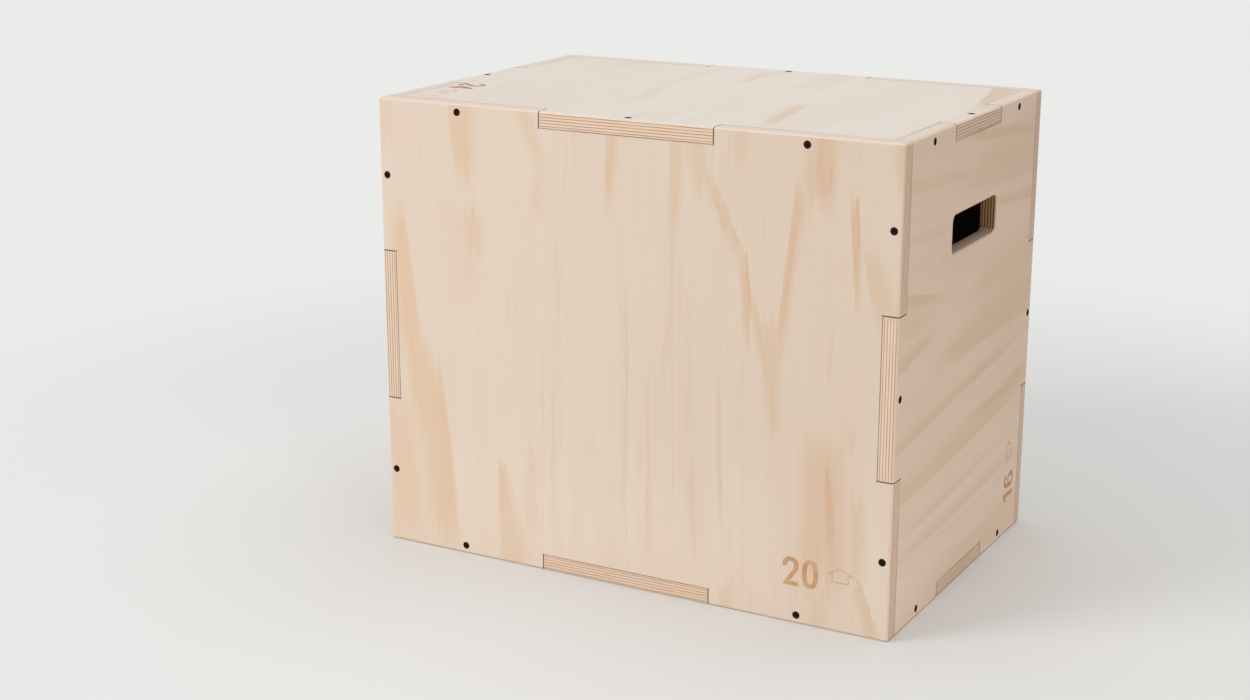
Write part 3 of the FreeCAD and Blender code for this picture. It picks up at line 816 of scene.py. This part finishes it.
def screw_points():
    """A wood screw with its head's top at height 0 and its point down, as rings of points.

    The rings follow a profile (radius, height). The head's top is a shallow dome that drops with the
    square of the radius, less the drive recess: the larger of two crossed slots, each with a flat floor,
    steep sides and a slope towards its ends. On the shank the radius grows by a ridge that peaks where
    height / pitch, less the angle in turns, is half a turn.
    """
    angle = np.linspace(0, 2 * np.pi, STEPS_AROUND, endpoint=False)
    top = np.linspace(0, HEAD_RADIUS, HEAD_RINGS)
    cone = np.array([(HEAD_RADIUS, -HEAD_EDGE), (SHANK_RADIUS, -NECK_DEPTH)])
    shank_height = np.linspace(-NECK_DEPTH, -SCREW_LENGTH, SHANK_RINGS)[1:]
    taper = np.clip((SCREW_LENGTH + shank_height) / POINT_LENGTH, 0, 1)
    radius = np.concatenate([top, cone[:, 0], SHANK_RADIUS * taper])[:, None] + 0 * angle
    height = np.concatenate([0 * top, cone[:, 1], shank_height])[:, None] + 0 * angle
    x, y = radius * np.cos(angle), radius * np.sin(angle)
    deepest = np.zeros_like(x)
    for along, across in ((x, y), (y, x)):
        side = np.clip((DRIVE_HALF - abs(across)) / DRIVE_SIDE_SLOPE + 0.5, 0, 1)
        end = np.clip((DRIVE_SPAN - abs(along)) / DRIVE_END_SLOPE, 0, 1)
        deepest = np.maximum(deepest, side * end)
    on_top = (height == 0) & (radius < HEAD_RADIUS)
    dome = DOME_HEIGHT * np.clip(radius / HEAD_RADIUS, 0, 1) ** 2
    height = height - on_top * deepest * DRIVE_DEPTH - (height == 0) * dome
    turn = (height / THREAD_PITCH - angle / (2 * np.pi)) % 1.0
    ridge = np.clip(1 - abs(turn - 0.5) / RIDGE_HALF, 0, 1)
    rows = len(top) + len(cone)
    ridge[:rows] = 0
    runout = np.clip((-height - THREAD_START) / THREAD_RUNOUT, 0, 1)
    runout = runout * np.concatenate([np.ones(rows), taper])[:, None]
    radius = radius + (THREAD_RADIUS - SHANK_RADIUS) * ridge * runout
    return np.stack([radius * np.cos(angle), radius * np.sin(angle), height], axis=-1)


def screw_pair(node, material):
    """Two screws in place of a node's pair, with their heads outwards."""
    out, aside, centres = screw_centres(node)
    rings = screw_points()
    axes = np.stack([aside, np.cross(out, aside), out])
    local = rings.reshape(-1, 3) @ axes
    faces = np.array(ring_faces(*rings.shape[:2]))
    points = np.concatenate([local + centre for centre in centres]) / MM
    both_faces = np.concatenate([faces, faces + len(local)]).tolist()
    piece = mesh_piece(f"{node}_detailed", points, both_faces, material)
    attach(piece, "root")
    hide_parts(node)


# black oxide: spans of its wear and its grain in millimetres, the wear's range and strength, gloss, relief
WEAR_SPAN = 1.5
WEAR_RANGE = (0.45, 0.75)
WEAR_STRENGTH = 0.6
OXIDE_GRAIN_SPAN = 0.15
OXIDE_ROUGHNESS = (0.55, 0.75)
OXIDE_GLOSS = 0.15
OXIDE_RELIEF = 0.00003


def black_screw():
    """Black oxide on steel, a little worn: slow noise mixes two near-blacks, fine noise is the relief."""
    finish = finish_named("black_screw")
    place = finish.coordinates()
    worn = finish.rise(*WEAR_RANGE, finish.cloud(place, WEAR_SPAN))
    grain = finish.cloud(place, OXIDE_GRAIN_SPAN)
    colour = finish.blend(worn * WEAR_STRENGTH, BLACK_OXIDE, BLACK_OXIDE_WORN)
    constants = {"Specular IOR Level": OXIDE_GLOSS}
    changing = {"Base Color": colour, "Roughness": between(*OXIDE_ROUGHNESS, grain)}
    return finish.surface(finish.shader(constants, changing, grain, OXIDE_RELIEF))


# scorched wood: spans of its patches and its grain in millimetres, their strength, gloss and relief
SCORCH_SPAN = 9
SCORCH_RANGE = (0.35, 0.7)
SCORCH_STRENGTH = 0.6
SCORCH_GRAIN_SPAN = 0.8
SCORCH_GRAIN_STRENGTH = 0.3
SCORCH_ROUGHNESS = (0.65, 0.85)
SCORCH_GLOSS = 0.25
SCORCH_RELIEF = 0.00005


def burnt_mark(name, light, dark):
    """Scorched wood: tan, darker in patches and in fine grains."""
    finish = finish_named(name)
    place = finish.coordinates()
    patch = finish.rise(*SCORCH_RANGE, finish.cloud(place, SCORCH_SPAN))
    grain = finish.cloud(place, SCORCH_GRAIN_SPAN, detail=3.0)
    colour = finish.blend(patch * SCORCH_STRENGTH + grain * SCORCH_GRAIN_STRENGTH, light, dark)
    constants = {"Specular IOR Level": SCORCH_GLOSS}
    changing = {"Base Color": colour, "Roughness": between(*SCORCH_ROUGHNESS, grain)}
    return finish.surface(finish.shader(constants, changing, grain, SCORCH_RELIEF))


# marks lie this much above the face, and as slabs reach under it, in millimetres
MARK_PROUD = 0.06
MARK_SUNK = 0.3

# digits in millimetres: their size and spacing, the width of upright and of level strokes, the height of
# the round parts of two and six, and the power that makes their arcs fuller than a circle's
DIGIT_WIDTH = 18.0
DIGIT_HEIGHT = 31.0
DIGIT_GAP = 4.0
STEM = 5.2
BAR = 4.6
CROWN = 9.2
FOOT = 9.7
ROUNDNESS = 2.5

# how many points an arc, a zero's rings and the rings of a six's foot have
ARC_STEPS = 24
ZERO_STEPS = 72
FOOT_STEPS = 48

# arrows: width, height and line in millimetres, the head's share of the height, half the stem's of width
ARROW_SIZE = (33.0, 17.0)
ARROW_LINE = 1.5
ARROW_HEAD = 0.5
ARROW_STEM = 0.29


def round_arc(middle, radii, start, end, steps=ARC_STEPS):
    """Points of a rounded arc from one angle to another, in degrees, on |x / a|^n + |y / b|^n = 1."""
    angle = np.radians(np.linspace(start, end, steps))
    turned = np.stack([np.cos(angle), np.sin(angle)], axis=1)
    return np.array(middle) + np.sign(turned) * abs(turned) ** (2 / ROUNDNESS) * radii


def round_ring(middle, radii, steps):
    """A whole rounded arc, without its last point, which is its first."""
    return round_arc(middle, radii, 0, 360, steps + 1)[:-1]


def zero():
    """A tall round with a tall counter."""
    half = np.array([DIGIT_WIDTH, DIGIT_HEIGHT]) / 2
    return [round_ring(half, radii, ZERO_STEPS) for radii in (half, half - (STEM, BAR))]


def one():
    """An upright with a flag that falls to the left from its top, by its corners in millimetres."""
    right = DIGIT_WIDTH - 1.7
    left = right - STEM
    shoulder = left + 1.1
    flag = left - 5.5
    flag_top, flag_foot, under_flag = DIGIT_HEIGHT - 6.2, DIGIT_HEIGHT - 10.8, DIGIT_HEIGHT - 7.4
    return [np.array([
        (left, 0), (right, 0), (right, DIGIT_HEIGHT), (shoulder, DIGIT_HEIGHT),
        (flag, flag_top), (flag, flag_foot), (left, under_flag),
    ])]


def two():
    """A round top that runs down in a slope to a level foot.

    The middle of its stroke is a round arc, then the slope and the foot. The outline lies half a stroke
    to either side, along the bisector at each corner. It is worked out where both strokes are as wide as
    the level one, and stretched sideways to the width of the upright one.
    """
    stretch = STEM / BAR
    half = BAR / 2
    wide = DIGIT_WIDTH / stretch
    crown_middle = (wide / 2, DIGIT_HEIGHT - CROWN)
    arc_start, arc_end = 188, -38
    top = round_arc(crown_middle, (wide / 2 - half, CROWN - half), arc_start, arc_end)
    slope_end = wide * 0.2
    middle = np.concatenate([top, [(slope_end, half), (wide, half)]])
    ahead = np.diff(middle, axis=0)
    ahead /= np.linalg.norm(ahead, axis=1)[:, None]
    aside = np.stack([-ahead[:, 1], ahead[:, 0]], axis=1)
    before, after = np.concatenate([aside[:1], aside]), np.concatenate([aside, aside[-1:]])
    bisector = before + after
    bisector /= (bisector * before).sum(axis=1)[:, None]
    outline = np.concatenate([middle + half * bisector, (middle - half * bisector)[::-1]])
    return [np.clip(outline, 0, None) * (stretch, 1)]


def four():
    """An upright crossed by a level bar, and a slope from the bar's left end to the top, by its corners."""
    left = 9.2
    right = left + STEM
    low = 6.3
    level = low + BAR
    bar_start, bar_end = 0.4, 17.6
    peak = left + 0.4
    slope_foot = level + 0.6
    counter_start, counter_top = 5.2, 19.8
    outer = [
        (left, 0), (right, 0), (right, low), (bar_end, low), (bar_end, level), (right, level),
        (right, DIGIT_HEIGHT), (peak, DIGIT_HEIGHT), (bar_start, slope_foot), (bar_start, low), (left, low),
    ]
    counter = [(counter_start, level), (left, level), (left, counter_top)]
    return [np.array(outer), np.array(counter)]


def six():
    """A round foot with a counter, and a stroke that rises from its left side and curls over at the top."""
    half = np.array([DIGIT_WIDTH, DIGIT_HEIGHT]) / 2
    foot = np.array([DIGIT_WIDTH / 2, FOOT])
    stroke = (STEM, BAR)
    curl_end, left_side, foot_end, inside_start = 28, 180, 468, 163
    outer = np.concatenate([
        round_arc(half, half, curl_end, left_side),
        round_arc(foot, foot, left_side, foot_end, FOOT_STEPS),
        round_arc(half, half - stroke, inside_start, curl_end),
    ])
    return [outer, round_ring(foot, foot - stroke, FOOT_STEPS)]


DIGITS = {"0": zero, "1": one, "2": two, "4": four, "6": six}


def number_mesh(name, number):
    """A number as a flat slab: the outlines of its digits side by side, filled but for their counters."""
    flat = bpy.data.curves.new(name, "CURVE")
    flat.dimensions = "2D"
    flat.fill_mode = "BOTH"
    flat.extrude = (MARK_PROUD + MARK_SUNK) / 2
    for place, digit in enumerate(number):
        for outline in DIGITS[digit]():
            spline = flat.splines.new("POLY")
            spline.points.add(len(outline) - 1)
            shifted = outline + (place * (DIGIT_WIDTH + DIGIT_GAP), 0)
            points = np.column_stack([shifted, np.zeros(len(outline)), np.ones(len(outline))])
            spline.points.foreach_set("co", points.ravel())
            spline.use_cyclic_u = True
    holder = bpy.data.objects.new(name, flat)
    bpy.context.scene.collection.objects.link(holder)
    bpy.context.view_layer.update()
    filled = holder.evaluated_get(bpy.context.evaluated_depsgraph_get())
    mesh = bpy.data.meshes.new_from_object(filled)
    bpy.data.objects.remove(holder)
    points = np.empty(3 * len(mesh.vertices))
    mesh.vertices.foreach_get("co", points)
    points = points.reshape(-1, 3)
    points[:, 2] -= points[:, 2].max()
    return points, [list(face.vertices) for face in mesh.polygons]


def arrow_points(width, height, line):
    """An outlined arrow that points up, as a closed band between two outlines of the same corners.

    The outer outline runs through the tip, the barbs and the foot. The inner one is the outer one moved
    inwards by the line's width along the bisector of each corner.
    """
    head = ARROW_HEAD * height
    stem = ARROW_STEM * width
    outer = np.array([
        (0, height), (width / 2, height - head), (stem, height - head), (stem, 0),
        (-stem, 0), (-stem, height - head), (-width / 2, height - head),
    ])
    before = outer - np.roll(outer, 1, axis=0)
    after = np.roll(outer, -1, axis=0) - outer
    before /= np.linalg.norm(before, axis=1)[:, None]
    after /= np.linalg.norm(after, axis=1)[:, None]
    normal_before = np.stack([before[:, 1], -before[:, 0]], axis=1)
    normal_after = np.stack([after[:, 1], -after[:, 0]], axis=1)
    bisector = normal_before + normal_after
    bisector /= (bisector * normal_before).sum(axis=1)[:, None]
    inner = outer + line * bisector
    return outer, inner


def arrow_mesh(width, height, line):
    """The outlined arrow as a slab: its section, a rectangle, is carried round the outline."""
    outer, inner = arrow_points(width, height, line)
    low, high = -(MARK_PROUD + MARK_SUNK), 0.0
    section = [(outer, high), (inner, high), (inner, low), (outer, low)]
    rings = [np.column_stack([outline, np.full(len(outline), level)]) for outline, level in section]
    rings.append(rings[0])
    points = np.concatenate(rings)
    points[:, 0] += width / 2
    return points, ring_faces(len(rings), len(outer))


# each number: the corner of its face that it is placed from, the directions to the right and up as it is
# read, the lower left corners of the number and of its arrow that way in millimetres, and its tones
MARKS = {
    "20": (
        (WIDTH / 2, -DEPTH / 2, 0), (1, 0, 0), (0, 0, 1),
        (-118, 41), (-70, 53), "burnt_mark",
    ),
    "16": (
        (WIDTH / 2, DEPTH / 2, 0), (0, 0, 1), (0, -1, 0),
        (33, 31), (83, 43), "burnt_mark",
    ),
    "24": (
        (-WIDTH / 2, -DEPTH / 2, HEIGHT), (0, -1, 0), (1, 0, 0),
        (-134, 25), (-86, 37), "deep_burnt_mark",
    ),
}


def mark(name, points, faces, corner, right, up, start, material):
    """Lays a flat slab on a face, from a corner by a start along the two directions that it is read in."""
    axes = np.stack([right, up, np.cross(right, up)])
    placed = np.array(corner) + (points + (*start, MARK_PROUD)) @ axes
    piece = mesh_piece(name, placed / MM, faces, material)
    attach(piece, "root")


def dress_marks():
    """The step height of each way up, with an arrow that points to the face which is then on top."""
    burnt = {name: burnt_mark(name, *tones) for name, tones in BURNT_TONES.items()}
    for number, (corner, right, up, number_start, arrow_start, tones) in MARKS.items():
        name = f"number_{number}"
        mark(name, *number_mesh(name, number), corner, right, up, number_start, burnt[tones])
        arrow = arrow_mesh(*ARROW_SIZE, ARROW_LINE)
        mark(f"arrow_{number}", *arrow, corner, right, up, arrow_start, burnt["faint_burnt_mark"])


# the floor: the span of its unevenness and the ring in which it passes into the backdrop, in millimetres
FLOOR_SPAN = 900
FLOOR_FADE = (480.0, 1500.0)
FLOOR_ROUGHNESS = (0.8, 0.9)
FLOOR_GLOSS = 0.2
FLOOR_RELIEF = 0.0


def pale_floor():
    """A plain pale floor with a faint unevenness, which passes into the backdrop away from the box."""
    finish = finish_named("pale_floor")
    x, y, z = finish.coordinates()
    cloud = finish.cloud((x, y, z), FLOOR_SPAN)
    tone = finish.blend(cloud, FLOOR_TONE, FLOOR_SHADE)
    changing = {"Base Color": tone, "Roughness": between(*FLOOR_ROUGHNESS, cloud)}
    floor = finish.shader({"Specular IOR Level": FLOOR_GLOSS}, changing, cloud, FLOOR_RELIEF)
    backdrop = finish.node("ShaderNodeEmission", {}, {"Color": BACKDROP, "Strength": 1.0})
    away = finish.math("SQRT", x * x + y * y)
    far = finish.rise(*FLOOR_FADE, away) * finish.seen()
    return finish.surface(finish.node("ShaderNodeMixShader", {}, {0: far, 1: floor, 2: backdrop}))


# the floor's rings of points, and how far under the box it lies, in metres
FLOOR_STEPS = 96
FLOOR_RINGS = (0, 1, 2, 4, 8, 16, 40)
FLOOR_DROP = 0.0002


def lay_floor():
    """A round floor under the box: rings of points at growing radii, all at the same height."""
    angle = np.linspace(0, 2 * np.pi, FLOOR_STEPS, endpoint=False)
    radius = np.array(FLOOR_RINGS, float)[:, None]
    x, y = radius * np.cos(angle), radius * np.sin(angle)
    points = np.stack([x, y, np.full_like(x, -FLOOR_DROP)], axis=-1)
    floor = mesh_piece("floor", points.reshape(-1, 3), ring_faces(*points.shape[:2]), pale_floor())


# lamps: place and width in metres, power in watts and tint
LAMPS = {
    "key": ((-2.9, -3.3, 1.9), 2.7, 102.0, (1.0, 1.0, 1.0)),
    "fill": ((2.1, -1.7, 0.5), 0.9, 14.0, (1.0, 0.96, 0.9)),
    "overhead": ((0.1, 0.3, 2.6), 2.2, 24.2, (0.98, 1.0, 1.0)),
}
LAMP_AIM = np.array([0, 0, 0.25])
ROOM_STRENGTH = 0.55


def light_scene():
    """A large soft key from the front left, a weak fill from the right, a soft top light, a pale room."""
    for name, (place, size, power, tint) in LAMPS.items():
        lamp = bpy.data.lights.new(name, "AREA")
        lamp.color = tint
        lamp.shape = "DISK"
        lamp.size = size
        lamp.energy = power
        holder = bpy.data.objects.new(name, lamp)
        holder.location = place
        holder.visible_camera = False
        holder.rotation_mode = "QUATERNION"
        holder.rotation_quaternion = Vector((LAMP_AIM - place).tolist()).to_track_quat("-Z", "Y")
        bpy.context.scene.collection.objects.link(holder)
    bpy.context.scene.world = bpy.data.worlds.new("pale_room")
    room = Finish(bpy.context.scene.world)
    light = room.node("ShaderNodeBackground", {}, {"Color": ROOM_TONE, "Strength": ROOM_STRENGTH})
    backdrop = room.node("ShaderNodeBackground", {}, {"Color": BACKDROP, "Strength": 1.0})
    both = room.node("ShaderNodeMixShader", {}, {0: room.seen(), 1: light, 2: backdrop})
    room.node("ShaderNodeOutputWorld", {}, {"Surface": both})


# the camera: its focal length and its picture's width in pixels, its sensor in millimetres, its place in
# metres, and how far it looks down and turns to the left, in degrees
FOCAL_PIXELS = 2033
PICTURE_PIXELS = 1250
SENSOR_WIDTH = 36.0
CAMERA_PLACE = (0.998, -1.987, 0.839)
LOOK_DOWN = 15.683
TURN_LEFT = 29.194


def place_camera():
    """The photograph's viewpoint: from the front right, above the box, looking a little down."""
    camera = bpy.data.cameras.new("camera")
    camera.sensor_width = SENSOR_WIDTH
    camera.lens = FOCAL_PIXELS * SENSOR_WIDTH / PICTURE_PIXELS
    holder = bpy.data.objects.new("camera", camera)
    holder.location = CAMERA_PLACE
    holder.rotation_euler = (radians(90 - LOOK_DOWN), 0, radians(TURN_LEFT))
    bpy.context.scene.collection.objects.link(holder)
    bpy.context.scene.camera = holder


dress_panels()
screw_black = black_screw()
for screw_node in SCREW_NODES:
    screw_pair(screw_node, screw_black)
dress_marks()
lay_floor()
light_scene()
place_camera()
bpy.context.scene.view_settings.view_transform = "Standard"
